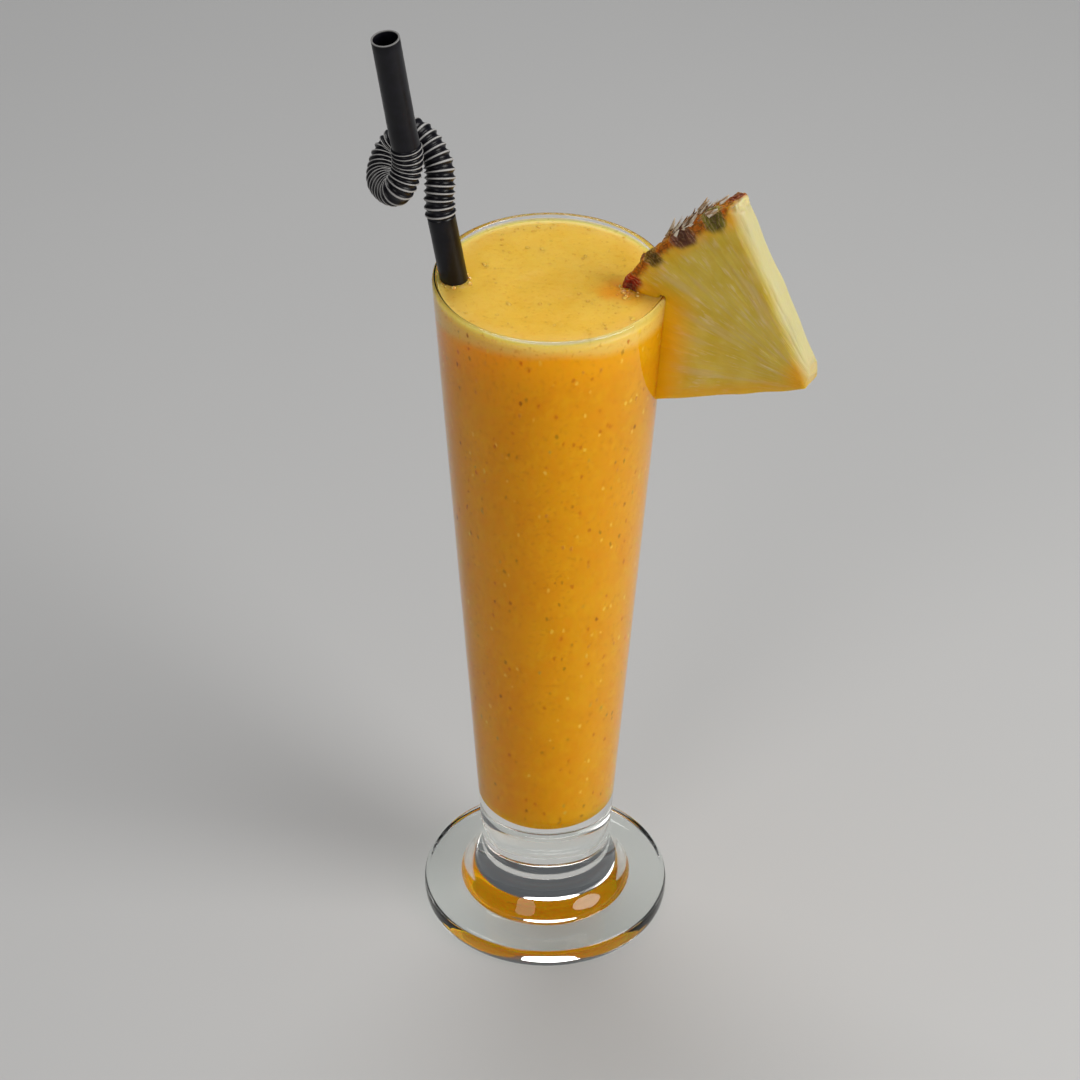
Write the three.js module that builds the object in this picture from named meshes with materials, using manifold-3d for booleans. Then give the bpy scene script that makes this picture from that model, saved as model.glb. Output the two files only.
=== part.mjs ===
// A mango smoothie in a tall footed glass, with a bent drinking straw and a wedge of pineapple
// hung on the rim. Millimetres, +Z up, +Y away from the viewer, origin in the middle of the
// foot's underside.

import * as THREE from 'three';
import { mergeVertices } from 'three/addons/utils/BufferGeometryUtils.js';
import Module from 'manifold-3d';

// Glass: a round foot, a rounded shoulder that flares up to a waist, and one straight cone to the rim
const SIDES = 48;
const GLASS_HEIGHT = 230;
const FOOT_RADIUS = 37.9;
const FOOT_THICKNESS = 7;
const FOOT_ROUNDING = 1.7;
const CREASE_RADIUS = 26.3;
const CREASE_HEIGHT = 7.4;
const SHOULDER_RADIUS = 24.2;
const SHOULDER_HEIGHT = 11.4;
const SHOULDER_PULL = 1.6;
const FLARE_PULL = 3.8;
const WAIST_RADIUS = 19.7;
const WAIST_HEIGHT = 23;
const RIM_RADIUS = 33.4;
const RIM_WALL = 1.6;
const LIP_HEIGHT = 1.4;
const HOLLOW_BOTTOM = 39;
const HOLLOW_RADIUS = 18.1;
const HOLLOW_ROUNDING = 6;

// Gap between pieces that touch
const GAP = 0.3;

// Drink
const DRINK_LEVEL = 228;

// Straw: a plain tail in the drink, a bellows bent round one full turn, and a plain mouthpiece
const STRAW_SIDES = 16;
const STRAW_RADIUS = 3.95;
const STRAW_WALL = 0.45;
const STRAW_TAIL = [2.9, 0.5, 45];
const STRAW_MOUTH = [-44.8, -5.2, 308.6];
const STRAW_BEND = [
  [-29.5, 0.5, 242.5],
  [-31, 1.5, 252],
  [-31.5, 6.5, 262.5],
  [-38, 12.5, 268.5],
  [-45, 14.5, 262],
  [-47, 6, 257.5],
  [-42.5, -3.5, 260],
  [-39.5, -3, 268.5],
  [-41, -3, 280.5],
];
const BELLOWS_INSET = 6.6;
const RIDGES = 41;
const RIDGE_CREST = 4.45;
const RIDGE_VALLEY = 3.8;
const RIDGE_STRETCH = 0.14;
const BELLOWS_BORE = 3.3;

// Pineapple: a sector of a round slice, its core corner out to the right and its rind in the glass
const SLICE_TURN = THREE.MathUtils.degToRad(28);
const SLICE_CORE = [72.8, -31.7, 214.4];
const SLICE_THICKNESS = 7.6;
const SLICE_START = 116.8;
const SLICE_END = 203;
const TIP_CUT = 2.35;
const RIND_RADIUS = 57.6;
const RIND_SWELL = 3.4;
const SWELL_START = 142;
const SWELL_END = 166;
const EYE_ANGLE = 13;
const EYE_PHASE = 126;
const EYE_HEIGHT = 0.9;
const SCALE_HEIGHT = 1.5;

const wasm = await Module();
wasm.setup();

// Welds a geometry by position and drops the triangles that a pole squeezes to nothing.
function weld(geometry) {
  const bare = geometry.clone();
  bare.deleteAttribute('normal');
  bare.deleteAttribute('uv');
  const merged = mergeVertices(bare, 1e-4);
  const index = merged.index.array;
  const kept = [];
  for (let i = 0; i < index.length; i += 3) {
    const [a, b, c] = index.slice(i, i + 3);
    if (a !== b && b !== c && c !== a) kept.push(a, b, c);
  }
  merged.setIndex(kept);
  return merged;
}

// A closed geometry as a solid with its faces pointing out.
function toSolid(geometry) {
  const merged = weld(geometry);
  const vertProperties = Float32Array.from(merged.attributes.position.array);
  const triVerts = Uint32Array.from(merged.index.array);
  if (signedVolume(vertProperties, triVerts) < 0) triVerts.reverse();
  return new wasm.Manifold(new wasm.Mesh({ numProp: 3, vertProperties, triVerts }));
}

function signedVolume(points, triangles) {
  const corner = (i) => new THREE.Vector3().fromArray(points, 3 * triangles[i]);
  let volume = 0;
  for (let i = 0; i < triangles.length; i += 3) {
    volume += corner(i).dot(corner(i + 1).cross(corner(i + 2))) / 6;
  }
  return volume;
}

function toGeometry(solid) {
  const mesh = solid.getMesh();
  const geometry = new THREE.BufferGeometry();
  geometry.setAttribute('position', new THREE.BufferAttribute(mesh.vertProperties, 3));
  geometry.setIndex(new THREE.BufferAttribute(mesh.triVerts, 1));
  geometry.computeVertexNormals();
  return geometry;
}

// A profile of radius and height turned about the Z axis.
function turned(profile, divisions) {
  const lathe = new THREE.LatheGeometry(profile.getPoints(divisions), SIDES);
  return toSolid(lathe.rotateX(Math.PI / 2));
}

// Inner radius of the glass's straight cone at a height.
function innerRadius(height) {
  const low = HOLLOW_BOTTOM + HOLLOW_ROUNDING;
  const high = GLASS_HEIGHT - LIP_HEIGHT;
  return THREE.MathUtils.mapLinear(height, low, high, HOLLOW_RADIUS, RIM_RADIUS - RIM_WALL);
}

// Runs down the hollow's cone from a height, round its bottom corner and in to the axis.
function hollowProfile(profile, height, shrink) {
  const bottom = HOLLOW_BOTTOM + shrink;
  const corner = HOLLOW_BOTTOM + HOLLOW_ROUNDING;
  profile.lineTo(innerRadius(height) - shrink, height);
  profile.lineTo(innerRadius(corner) - shrink, corner);
  profile.quadraticCurveTo(
    innerRadius(bottom) - shrink, bottom, HOLLOW_RADIUS - HOLLOW_ROUNDING - shrink, bottom);
  profile.lineTo(0, bottom);
}

function glassSolid() {
  const lip = GLASS_HEIGHT - LIP_HEIGHT;
  const crown = RIM_RADIUS - RIM_WALL / 2;
  const profile = new THREE.Path();
  profile.moveTo(0, 0);
  profile.lineTo(FOOT_RADIUS - FOOT_ROUNDING, 0);
  profile.quadraticCurveTo(FOOT_RADIUS, 0, FOOT_RADIUS, 0.6 * FOOT_THICKNESS);
  profile.quadraticCurveTo(
    FOOT_RADIUS, FOOT_THICKNESS, FOOT_RADIUS - FOOT_ROUNDING, FOOT_THICKNESS);
  profile.lineTo(CREASE_RADIUS, CREASE_HEIGHT);
  profile.quadraticCurveTo(
    SHOULDER_RADIUS + SHOULDER_PULL, SHOULDER_HEIGHT - SHOULDER_PULL,
    SHOULDER_RADIUS, SHOULDER_HEIGHT);
  profile.quadraticCurveTo(
    SHOULDER_RADIUS - FLARE_PULL, SHOULDER_HEIGHT + FLARE_PULL, WAIST_RADIUS, WAIST_HEIGHT);
  profile.lineTo(RIM_RADIUS, lip);
  profile.quadraticCurveTo(RIM_RADIUS, GLASS_HEIGHT, crown, GLASS_HEIGHT);
  profile.quadraticCurveTo(RIM_RADIUS - RIM_WALL, GLASS_HEIGHT, RIM_RADIUS - RIM_WALL, lip);
  hollowProfile(profile, lip - LIP_HEIGHT, 0);
  return turned(profile, 5);
}

// The upper glass wall with a gap all round it, which makes the slit in the pineapple.
function wallCutter() {
  const low = 0.7 * GLASS_HEIGHT;
  const top = GLASS_HEIGHT + GAP;
  const lowOuter = THREE.MathUtils.mapLinear(
    low, WAIST_HEIGHT, GLASS_HEIGHT - LIP_HEIGHT, WAIST_RADIUS, RIM_RADIUS);
  const profile = new THREE.Path();
  profile.moveTo(innerRadius(low) - GAP, low);
  profile.lineTo(lowOuter + GAP, low);
  profile.lineTo(RIM_RADIUS + GAP, GLASS_HEIGHT - LIP_HEIGHT);
  profile.lineTo(RIM_RADIUS + GAP, top);
  profile.lineTo(RIM_RADIUS - RIM_WALL - GAP, top);
  profile.lineTo(innerRadius(GLASS_HEIGHT - LIP_HEIGHT) - GAP, GLASS_HEIGHT - LIP_HEIGHT);
  profile.lineTo(innerRadius(low) - GAP, low);
  return turned(profile, 1);
}

// Centre line of the straw: a straight, a smooth bend through its points and another straight.
function strawLine() {
  const bend = STRAW_BEND.map((p) => new THREE.Vector3(...p));
  const line = new THREE.CurvePath();
  line.arcLengthDivisions = 2000;
  line.add(new THREE.LineCurve3(new THREE.Vector3(...STRAW_TAIL), bend[0]));
  line.add(new THREE.CatmullRomCurve3(bend, false, 'catmullrom', 0.5));
  line.add(new THREE.LineCurve3(bend.at(-1), new THREE.Vector3(...STRAW_MOUTH)));
  return line;
}

// Rings swept along a line, each at a share of its length, joined in order and closed on the first.
function sweep(line, rings) {
  const steps = 1500;
  const frames = line.computeFrenetFrames(steps);
  const points = [];
  for (const [share, radius] of rings) {
    const centre = line.getPointAt(share);
    const near = Math.round(share * steps);
    const across = frames.normals[near];
    const along = frames.binormals[near];
    for (let side = 0; side < STRAW_SIDES; side++) {
      const angle = 2 * Math.PI * side / STRAW_SIDES;
      const point = centre.clone();
      point.addScaledVector(across, radius * Math.cos(angle));
      point.addScaledVector(along, radius * Math.sin(angle));
      points.push(...point.toArray());
    }
  }
  const faces = [];
  for (let ring = 0; ring < rings.length; ring++) {
    const next = (ring + 1) % rings.length;
    for (let side = 0; side < STRAW_SIDES; side++) {
      const beside = (side + 1) % STRAW_SIDES;
      const a = ring * STRAW_SIDES + side;
      const b = ring * STRAW_SIDES + beside;
      const c = next * STRAW_SIDES + beside;
      const d = next * STRAW_SIDES + side;
      faces.push(a, b, c, a, c, d);
    }
  }
  const geometry = new THREE.BufferGeometry();
  geometry.setAttribute('position', new THREE.Float32BufferAttribute(points, 3));
  geometry.setIndex(faces);
  return toSolid(geometry);
}

// The straw as an open tube: ridges outside, packed a little closer towards the mouthpiece, and
// a smooth bore inside. The bend is plain for a little way at each end.
function strawSolid() {
  const line = strawLine();
  const [tailEnd, bendEnd, mouthEnd] = line.getCurveLengths();
  const bore = STRAW_RADIUS - STRAW_WALL;
  const bendFirst = tailEnd / mouthEnd;
  const bendLast = bendEnd / mouthEnd;
  const first = (tailEnd + BELLOWS_INSET) / mouthEnd;
  const last = (bendEnd - BELLOWS_INSET) / mouthEnd;
  const shareAt = (part) => {
    const eased = part * (1 + RIDGE_STRETCH - RIDGE_STRETCH * part);
    return first + (last - first) * eased;
  };
  const outside = [0, bendFirst, first].map((share) => [share, STRAW_RADIUS]);
  for (let ridge = 0; ridge < RIDGES; ridge++) {
    outside.push([shareAt((ridge + 0.5) / RIDGES), RIDGE_CREST]);
    if (ridge < RIDGES - 1) outside.push([shareAt((ridge + 1) / RIDGES), RIDGE_VALLEY]);
  }
  outside.push(...[last, bendLast, 1].map((share) => [share, STRAW_RADIUS]));
  const inside = [[0, bore], [bendFirst, bore]];
  for (let ring = 0; ring <= RIDGES; ring++) inside.push([shareAt(ring / RIDGES), BELLOWS_BORE]);
  inside.push([bendLast, bore], [1, bore]);
  return sweep(line, [...outside, ...inside.reverse()]);
}

// The straw's plain tail with a gap all round its wall, which makes its place in the drink.
function tailCutter() {
  const tail = new THREE.Vector3(...STRAW_TAIL);
  const high = new THREE.Vector3(...STRAW_BEND[0]);
  const down = tail.clone().sub(high).setLength(GAP);
  const line = new THREE.LineCurve3(tail.add(down), high);
  const outer = STRAW_RADIUS + GAP;
  const inner = STRAW_RADIUS - STRAW_WALL - GAP;
  return sweep(line, [[0, outer], [1, outer], [1, inner], [0, inner]]);
}

// Radius of the slice at an angle and at a share of its thickness. The fruit swells towards the
// end in the drink, and the eyes of its rind stand out in two rows, half an eye apart, each with
// a dry pointed scale.
function rindRadius(degrees, share) {
  const turn = 2 * Math.PI * (degrees - EYE_PHASE) / EYE_ANGLE;
  const row = Math.cos(Math.PI * share);
  const eyes = EYE_HEIGHT * (Math.cos(turn) * row + Math.sin(Math.PI * share));
  const scales = SCALE_HEIGHT * Math.max(0, Math.cos(turn) * row) ** 8;
  const swell = RIND_SWELL * THREE.MathUtils.smoothstep(degrees, SWELL_START, SWELL_END);
  return RIND_RADIUS + swell + eyes + scales;
}

// The pineapple wedge as a grid of angle, radius and thickness, skinned on its six sides and
// set in place, with every side moved out by the margin. An upright cut takes off its core corner.
function wedgeSolid(margin) {
  const counts = [66, 4, 4];
  const place = (angle, radial, depth) => {
    const plain = THREE.MathUtils.lerp(SLICE_START, SLICE_END, angle);
    const inner = (margin - TIP_CUT) / Math.cos(THREE.MathUtils.degToRad(plain));
    const outer = rindRadius(plain, depth) + margin;
    const radius = THREE.MathUtils.lerp(inner, outer, radial);
    const spread = (2 * angle - 1) * margin / radius;
    const turn = THREE.MathUtils.degToRad(plain) + spread;
    const back = THREE.MathUtils.lerp(-margin, SLICE_THICKNESS + margin, depth);
    return [radius * Math.cos(turn), back, radius * Math.sin(turn)];
  };
  const points = [];
  const faces = [];
  for (let axis = 0; axis < 3; axis++) {
    const [first, second] = [(axis + 1) % 3, (axis + 2) % 3];
    for (const end of [0, 1]) {
      const base = points.length / 3;
      const width = counts[second] + 1;
      for (let i = 0; i <= counts[first]; i++) {
        for (let j = 0; j <= counts[second]; j++) {
          const share = [0, 0, 0];
          share[axis] = end;
          share[first] = i / counts[first];
          share[second] = j / counts[second];
          points.push(...place(...share));
        }
      }
      for (let i = 0; i < counts[first]; i++) {
        for (let j = 0; j < counts[second]; j++) {
          const a = base + i * width + j;
          const quad = [a, a + width, a + width + 1, a + 1];
          if (end === 0) quad.reverse();
          faces.push(quad[0], quad[1], quad[2], quad[0], quad[2], quad[3]);
        }
      }
    }
  }
  const geometry = new THREE.BufferGeometry();
  geometry.setAttribute('position', new THREE.Float32BufferAttribute(points, 3));
  geometry.setIndex(faces);
  geometry.rotateZ(-SLICE_TURN);
  geometry.translate(...SLICE_CORE);
  return toSolid(geometry);
}

function drinkSolid() {
  const profile = new THREE.Path();
  profile.moveTo(0, DRINK_LEVEL);
  hollowProfile(profile, DRINK_LEVEL, GAP);
  return turned(profile, 5).subtract(tailCutter()).subtract(wedgeSolid(GAP));
}

function piece(name, solid, color, roughness, extra = {}) {
  const material = new THREE.MeshStandardMaterial({ color, roughness, metalness: 0, ...extra });
  const mesh = new THREE.Mesh(toGeometry(solid), material);
  mesh.name = name;
  return mesh;
}

const smoothie = new THREE.Group();
smoothie.add(
  piece('glass', glassSolid(), 0xe4ebe8, 0.03, { transparent: true, opacity: 0.35 }),
  piece('drink', drinkSolid(), 0xe3a32b, 0.35),
  piece('straw', strawSolid(), 0x16151a, 0.3),
  piece('pineapple_wedge', wedgeSolid(0).subtract(wallCutter()), 0xd9bb52, 0.45),
);

export default smoothie;
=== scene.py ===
# A mango smoothie in a tall footed glass, with a bent black straw and a wedge of pineapple hung on
# the rim. Metres, +Z up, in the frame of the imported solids.
import math

import bmesh
import bpy
import numpy as np
from mathutils import Matrix, Vector, noise


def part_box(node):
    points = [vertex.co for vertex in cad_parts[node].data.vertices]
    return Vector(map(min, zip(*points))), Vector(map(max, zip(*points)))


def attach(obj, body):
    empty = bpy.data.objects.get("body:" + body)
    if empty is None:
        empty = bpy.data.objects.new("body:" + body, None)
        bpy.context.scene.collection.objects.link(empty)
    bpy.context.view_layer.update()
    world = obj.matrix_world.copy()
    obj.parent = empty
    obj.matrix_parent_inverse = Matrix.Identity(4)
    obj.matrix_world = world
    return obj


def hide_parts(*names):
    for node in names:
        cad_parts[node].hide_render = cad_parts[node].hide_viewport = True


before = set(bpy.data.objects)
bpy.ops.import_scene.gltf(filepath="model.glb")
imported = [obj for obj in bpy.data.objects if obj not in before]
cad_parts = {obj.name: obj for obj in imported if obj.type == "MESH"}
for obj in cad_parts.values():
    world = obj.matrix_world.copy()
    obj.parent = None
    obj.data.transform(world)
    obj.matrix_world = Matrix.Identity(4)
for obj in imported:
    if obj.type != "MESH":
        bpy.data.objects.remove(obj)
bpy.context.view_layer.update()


# The glass: clear glass pressed in one piece, with a heavy round foot, a shoulder that flares up to a
# waist, and a long straight cone. Its lip is melted round, and a shallow dome under the foot leaves it
# standing on a ring.
MM = 0.001
GLASS_SIDES = 192
FOOT_THICKNESS = 7 * MM
FOOT_ROUNDING = 1.7 * MM
FOOT_DOME = 0.9 * MM
FOOT_RING = 33 * MM
CREASE_RADIUS = 26.3 * MM
CREASE_HEIGHT = 7.4 * MM
CREASE_FILLET = 1.3 * MM
SHOULDER_RADIUS = 24.2 * MM
SHOULDER_HEIGHT = 11.4 * MM
SHOULDER_PULL = 1.6 * MM
FLARE_PULL = 4.4 * MM
WAIST_RADIUS = 19.7 * MM
WAIST_HEIGHT = 23 * MM
RIM_RADIUS = 33.4 * MM
RIM_WALL = 1.6 * MM
LIP_HEIGHT = 1.4 * MM
HOLLOW_BOTTOM = 39 * MM
HOLLOW_RADIUS = 18.1 * MM
HOLLOW_ROUNDING = 6 * MM
GLASS_INDEX = 1.5
GLASS_TINT = (0.985, 0.995, 0.99, 1)
SHADOW_TINT = (0.93, 0.95, 0.94, 1)
BARE_SHINE = (0.8, 0.8, 0.8, 1)
# A weaker shine for the cone: painted shade on its reflections.
CONE_PAINTED_DIM_SHINE = (0.2, 0.2, 0.2, 1)
MOULD_WAVES = 14 * MM
MOULD_WAVE_DEPTH = 0.06 * MM
SMEARS = 9 * MM
glass_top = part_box("glass")[1]
FOOT_RADIUS = glass_top.x
GLASS_HEIGHT = glass_top.z
LIP = GLASS_HEIGHT - LIP_HEIGHT


class Wire:
    """One socket of a node tree. Sums on it add Math nodes, and node() adds any other node."""

    def __init__(self, socket):
        self.socket = socket

    @classmethod
    def node(cls, tree, kind, settings=None, sockets=None, output=0):
        """Adds a node, with its settings first and then its sockets' values or links."""
        made = tree.nodes.new(kind)
        settings = dict(settings or {})
        stops = settings.pop("stops", ())
        for name, value in settings.items():
            setattr(made, name, value)
        for place, (position, tint) in enumerate(stops):
            ends = made.color_ramp.elements
            stop = ends[place] if place < 2 else ends.new(position)
            stop.position = position
            stop.color = tint
        for name, value in (sockets or {}).items():
            if isinstance(value, Wire):
                tree.links.new(value.socket, made.inputs[name])
            else:
                made.inputs[name].default_value = value
        return cls(made.outputs[output]) if made.outputs else None

    def beside(self, output):
        """Another output of the same node."""
        return Wire(self.socket.node.outputs[output])

    def math(self, operation, *values):
        """A Math node on this value and any others."""
        sockets = dict(enumerate((self, *values)))
        return Wire.node(self.socket.id_data, "ShaderNodeMath", {"operation": operation}, sockets)

    def ramp(self, low, high):
        """Rises smoothly from 0 at low to 1 at high."""
        settings = {"interpolation_type": "SMOOTHSTEP"}
        sockets = {"Value": self, "From Min": low, "From Max": high}
        return Wire.node(self.socket.id_data, "ShaderNodeMapRange", settings, sockets)

    def __add__(self, other):
        return self.math("ADD", other)

    def __sub__(self, other):
        return self.math("SUBTRACT", other)

    def __rsub__(self, other):
        return (self * -1).math("ADD", other)

    def __mul__(self, other):
        return self.math("MULTIPLY", other)

    def __truediv__(self, other):
        return self.math("DIVIDE", other)

    def __pow__(self, other):
        return self.math("POWER", other)

    __radd__ = __add__
    __rmul__ = __mul__


def colour(red, green, blue):
    """A screen colour of 0 to 255 as the linear colour that a shader takes."""
    shares = [c / 255 for c in (red, green, blue)]
    linear = [c / 12.92 if c <= 0.04045 else ((c + 0.055) / 1.055) ** 2.4 for c in shares]
    return (*linear, 1)


def blended(factor, first, second):
    """A colour between two, by a factor."""
    tree = factor.socket.id_data
    sockets = {"Factor": factor, 6: first, 7: second}
    return Wire.node(tree, "ShaderNodeMix", {"data_type": "RGBA"}, sockets, 2)


def noise_at(tree, place, size, detail=2, roughness=0.5):
    """Soft noise of 0 to 1 whose lumps are about the given size."""
    sockets = {"Vector": place, "Scale": 1 / size, "Detail": detail, "Roughness": roughness}
    return Wire.node(tree, "ShaderNodeTexNoise", None, sockets)


def bumped(tree, height, depth):
    """A normal for relief whose full height is the given depth."""
    return Wire.node(tree, "ShaderNodeBump", None, {"Height": height, "Distance": depth})


def new_material(name):
    """An empty material: its tree, and the place of each point on the piece."""
    material = bpy.data.materials.new(name)
    material.use_nodes = True
    tree = material.node_tree
    tree.nodes.clear()
    place = Wire.node(tree, "ShaderNodeTexCoord", None, None, "Object")
    return material, tree, place


def output(tree, shader):
    """Ends a material in its shader."""
    Wire.node(tree, "ShaderNodeOutputMaterial", None, {"Surface": shader})


def principled(tree, sockets):
    """A Principled shader with the given sockets."""
    return Wire.node(tree, "ShaderNodeBsdfPrincipled", None, sockets)


def glass_material():
    """Clear glass, a little uneven from the mould, that lets lamps light what is behind it, with
    painted shade dimming the reflections on its cone.
    """
    material, tree, place = new_material("clear_glass")
    waves = noise_at(tree, place, MOULD_WAVES, 1)
    smears = noise_at(tree, place, SMEARS, 4)
    look = {
        "Base Color": GLASS_TINT,
        "Roughness": 0.02 * smears.ramp(0.45, 0.8),
        "IOR": GLASS_INDEX,
        "Transmission Weight": 1.0,
        "Normal": bumped(tree, waves, MOULD_WAVE_DEPTH),
    }
    bare = principled(tree, look | {"Specular Tint": BARE_SHINE})
    # Painted shade: the cone, where the drink stands behind the wall, reflects through a weaker
    # specular tint, so its reflections are dimmer than the foot's and the lip's.
    dimmed = principled(tree, look | {"Specular Tint": CONE_PAINTED_DIM_SHINE})
    height = Wire.node(tree, "ShaderNodeSeparateXYZ", None, {"Vector": place}, "Z")
    cone = height.ramp(HOLLOW_BOTTOM, HOLLOW_BOTTOM + HOLLOW_ROUNDING)
    cone = cone * (1 - height.ramp(LIP - LIP_HEIGHT, LIP))
    sockets = {"Fac": cone, 1: bare, 2: dimmed}
    clear = Wire.node(tree, "ShaderNodeMixShader", None, sockets)
    path = Wire.node(tree, "ShaderNodeLightPath", None, None, "Is Shadow Ray")
    passing = path.math("MAXIMUM", path.beside("Is Diffuse Ray"))
    tinted = Wire.node(tree, "ShaderNodeBsdfTransparent", None, {"Color": SHADOW_TINT})
    sockets = {"Fac": passing, 1: clear, 2: tinted}
    output(tree, Wire.node(tree, "ShaderNodeMixShader", None, sockets))
    return material


def bend(start, pull, end, count):
    """Points of radius and height on a curve from start towards end, drawn towards a third point."""
    share = np.linspace(0, 1, count, endpoint=False)[:, None]
    start, pull, end = np.array(start), np.array(pull), np.array(end)
    return (1 - share) ** 2 * start + 2 * share * (1 - share) * pull + share ** 2 * end


def straight(start, end, count):
    """Points of radius and height on a straight line from start towards end."""
    return bend(start, np.add(start, end) / 2, end, count)


def turned(name, profile, sides, ring=False):
    """A profile turned about Z. It runs from axis to axis, or round on itself for a ring."""
    profile = np.vstack(profile)
    turns = np.linspace(0, 2 * math.pi, sides, endpoint=False)
    inner = profile if ring else profile[1:-1]
    across = np.stack([np.cos(turns), np.sin(turns)], 1)
    points = np.empty((len(inner), sides, 3))
    points[..., :2] = inner[:, None, :1] * across
    points[..., 2] = inner[:, None, 1]
    points = points.reshape(-1, 3)
    faces = []
    for row in range(len(inner) if ring else len(inner) - 1):
        low, high = row * sides, (row + 1) % len(inner) * sides
        for side in range(sides):
            beside = (side + 1) % sides
            faces.append((low + side, low + beside, high + beside, high + side))
    if not ring:
        first, last = len(points), len(points) + 1
        points = np.vstack([points, (0, 0, profile[0, 1]), (0, 0, profile[-1, 1])])
        top = (len(inner) - 1) * sides
        for side in range(sides):
            beside = (side + 1) % sides
            faces.append((first, beside, side))
            faces.append((last, top + side, top + beside))
    mesh = bpy.data.meshes.new(name)
    mesh.from_pydata(points.tolist(), [], faces)
    mesh.shade_smooth()
    return mesh


def new_piece(name, mesh, slot=None, node=None):
    """Puts a mesh in the scene, hangs it on the root body if it has a slot, and hides the part it
    replaces if one is named.
    """
    piece = bpy.data.objects.new(name, mesh)
    bpy.context.scene.collection.objects.link(piece)
    if slot:
        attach(piece, "root")
    if node:
        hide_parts(node)
    return piece


def inner_radius(height):
    """Radius of the hollow's straight cone at a height."""
    low = HOLLOW_BOTTOM + HOLLOW_ROUNDING
    return HOLLOW_RADIUS + (RIM_RADIUS - RIM_WALL - HOLLOW_RADIUS) * (height - low) / (LIP - low)


def outer_radius(height):
    """Radius of the outside of the straight cone at a height."""
    return WAIST_RADIUS + (RIM_RADIUS - WAIST_RADIUS) * (height - WAIST_HEIGHT) / (LIP - WAIST_HEIGHT)


def hollow(top, grow, count):
    """The hollow's wall from a height down, its bottom corner and its floor, moved out by grow."""
    corner = HOLLOW_BOTTOM + HOLLOW_ROUNDING
    floor = HOLLOW_BOTTOM - grow
    wall_top = (inner_radius(top) + grow, top)
    wall_end = (inner_radius(corner) + grow, corner)
    pull = (inner_radius(floor) + grow, floor)
    floor_edge = (HOLLOW_RADIUS - HOLLOW_ROUNDING + grow, floor)
    return [
        straight(wall_top, wall_end, count),
        bend(wall_end, pull, floor_edge, 14),
        straight(floor_edge, (0, floor), 6),
        [(0, floor)],
    ]


foot_edge = FOOT_RADIUS - FOOT_ROUNDING
foot_side = (FOOT_RADIUS, 0.6 * FOOT_THICKNESS)
foot_top = (foot_edge, FOOT_THICKNESS)
crease = (CREASE_RADIUS, CREASE_HEIGHT)
crease_out = (CREASE_RADIUS + CREASE_FILLET, CREASE_HEIGHT - 0.04 * CREASE_FILLET)
crease_in = (CREASE_RADIUS - 0.15 * CREASE_FILLET, CREASE_HEIGHT + 0.75 * CREASE_FILLET)
shoulder = (SHOULDER_RADIUS, SHOULDER_HEIGHT)
shoulder_pull = (SHOULDER_RADIUS + SHOULDER_PULL, SHOULDER_HEIGHT - SHOULDER_PULL)
flare_pull = (SHOULDER_RADIUS - FLARE_PULL, SHOULDER_HEIGHT + FLARE_PULL)
waist = (WAIST_RADIUS, WAIST_HEIGHT)
crown = (RIM_RADIUS - RIM_WALL / 2, GLASS_HEIGHT)
glass_profile = [
    bend((0, FOOT_DOME), (0.7 * FOOT_RING, FOOT_DOME), (FOOT_RING, 0), 16),
    straight((FOOT_RING, 0), (foot_edge, 0), 3),
    bend((foot_edge, 0), (FOOT_RADIUS, 0), foot_side, 10),
    bend(foot_side, (FOOT_RADIUS, FOOT_THICKNESS), foot_top, 10),
    straight(foot_top, crease_out, 8),
    bend(crease_out, crease, crease_in, 6),
    bend(crease_in, shoulder_pull, shoulder, 10),
    bend(shoulder, flare_pull, waist, 18),
    straight(waist, (RIM_RADIUS, LIP), 40),
    bend((RIM_RADIUS, LIP), (RIM_RADIUS, GLASS_HEIGHT), crown, 8),
    bend(crown, (RIM_RADIUS - RIM_WALL, GLASS_HEIGHT), (RIM_RADIUS - RIM_WALL, LIP), 8),
    *hollow(LIP, 0, 36),
]
glass_mesh = turned("glass_body", glass_profile, GLASS_SIDES)
glass_mesh.materials.append(glass_material())
new_piece("glass_body", glass_mesh, "glass", "glass")


# The drink: mango blended smooth, thick and cloudy, with bits of pulp and a little froth. It wets the
# glass all the way up, so it reaches just into the wall here, and its top climbs a little at the
# glass, the straw and the pineapple.
DRINK_SIDES = 240
DRINK_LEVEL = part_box("drink")[1].z
WETTING = 0.08 * MM
TOP_RINGS = 84
HAIR = 0.01 * MM
CLIMB = 1.0 * MM
CLIMB_WIDTH = 2.6 * MM
STRAW_CLIMB = 0.8 * MM
RIND_CLIMB = 0.7 * MM
CLIMB_REACH = 0.9 * MM
BROAD_SWELL = 0.25 * MM
FINE_SWELL = 0.06 * MM
CALM_EDGE = 3 * MM
SPECK_SPACING = 2.4 * MM
SPECK_STRAY = 0.9 * MM
PULP_DENSITY = 4.5e4
PULP_SIZES = (0.25 * MM, 0.8 * MM)
FROTH_DENSITY = 4.5e6
FROTH_SIZES = (0.16 * MM, 0.75 * MM)
BODY_DEEP = colour(237, 162, 2)
BODY_LIGHT = colour(241, 170, 5)
BODY_MOTTLE = colour(248, 188, 20)
# A painted glow of light from above in the drink's upper body.
BODY_PAINTED_GLOW = colour(253, 180, 6)
# The pale band under the rim: painted light from above.
NECK_PAINTED_GLOW = colour(253, 208, 108)
TOP_DEEP = colour(230, 178, 52)
TOP_LIGHT = colour(235, 188, 68)
# The top's paler ring and edge at the glass: painted light of the pale band under the rim.
TOP_RIM_PAINTED_GLOW = colour(236, 191, 94)
TOP_EDGE_PAINTED_GLOW = colour(252, 204, 108)
TOP_BLOT = colour(204, 142, 18)
RIND_JUICE = colour(236, 146, 6)
GRAIN = colour(208, 134, 14)
PALE_SPECK = colour(252, 206, 70)
ORANGE_SPECK = colour(214, 122, 6)
OLIVE_SPECK = colour(150, 98, 8)

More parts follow.
